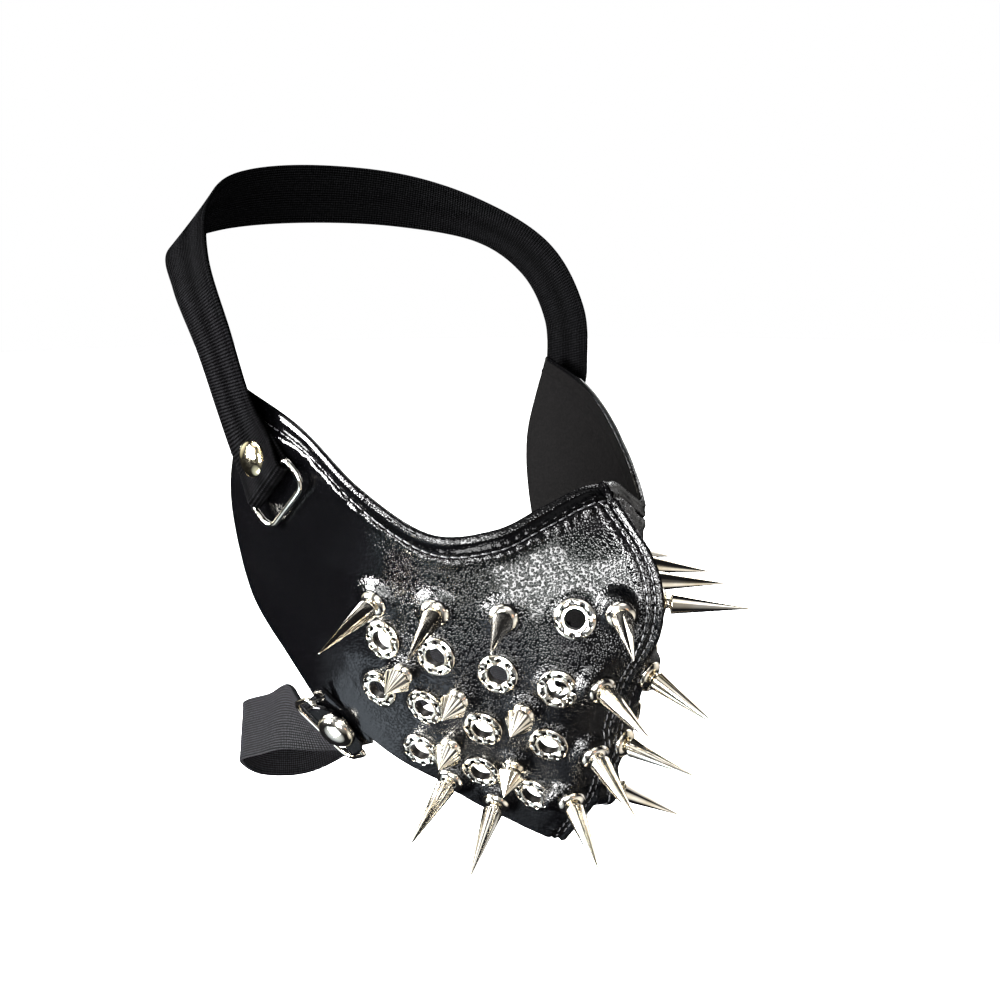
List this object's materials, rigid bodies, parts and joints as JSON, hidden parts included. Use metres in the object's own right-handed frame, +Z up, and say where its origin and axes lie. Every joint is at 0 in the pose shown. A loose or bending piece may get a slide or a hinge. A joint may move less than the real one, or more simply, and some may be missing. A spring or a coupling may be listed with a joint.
{
  "type": "spiked face mask",
  "caption": "Black leather half-face mask with polished cone spikes, short cone studs, ringed vent eyelets and two elastic head straps on wire rings.",
  "frame": {"origin": "top of the centre seam, on the bridge of the nose", "axes": "+X to the wearer's left, -Y forwards from the face, +Z up"},
  "size_m": [0.1684, 0.2425, 0.2715],
  "materials": {
    "leather": "glossy, pebbled",
    "elastic": "ribbed, matt",
    "nickel": "polished"
  },
  "bodies": {
    "root": {"mask_shell": "leather", "upper_strap": "elastic", "lower_strap": "elastic", "upper_ring_left": "nickel", "lower_ring_left": "nickel", "upper_ring_right": "nickel", "lower_ring_right": "nickel", "spike_left_1": "nickel", "spike_left_2": "nickel", "spike_left_3": "nickel", "spike_left_4": "nickel", "spike_left_5": "nickel", "spike_left_6": "nickel", "spike_left_7": "nickel", "spike_left_8": "nickel", "spike_left_9": "nickel", "stud_left_1": "nickel", "stud_left_2": "nickel", "stud_left_3": "nickel", "stud_left_4": "nickel", "stud_left_5": "nickel", "eyelet_left_1": "nickel", "eyelet_left_2": "nickel", "eyelet_left_3": "nickel", "eyelet_left_4": "nickel", "eyelet_left_5": "nickel", "eyelet_left_6": "nickel", "eyelet_left_7": "nickel", "eyelet_left_8": "nickel", "eyelet_left_9": "nickel", "eyelet_left_10": "nickel", "eyelet_left_11": "nickel", "eyelet_left_12": "nickel", "spike_right_1": "nickel", "spike_right_2": "nickel", "spike_right_3": "nickel", "spike_right_4": "nickel", "spike_right_5": "nickel", "spike_right_6": "nickel", "spike_right_7": "nickel", "spike_right_8": "nickel", "spike_right_9": "nickel", "stud_right_1": "nickel", "stud_right_2": "nickel", "stud_right_3": "nickel", "stud_right_4": "nickel", "stud_right_5": "nickel", "eyelet_right_1": "nickel", "eyelet_right_2": "nickel", "eyelet_right_3": "nickel", "eyelet_right_4": "nickel", "eyelet_right_5": "nickel", "eyelet_right_6": "nickel", "eyelet_right_7": "nickel", "eyelet_right_8": "nickel", "eyelet_right_9": "nickel", "eyelet_right_10": "nickel", "eyelet_right_11": "nickel", "eyelet_right_12": "nickel"}
  },
  "joints": []
}
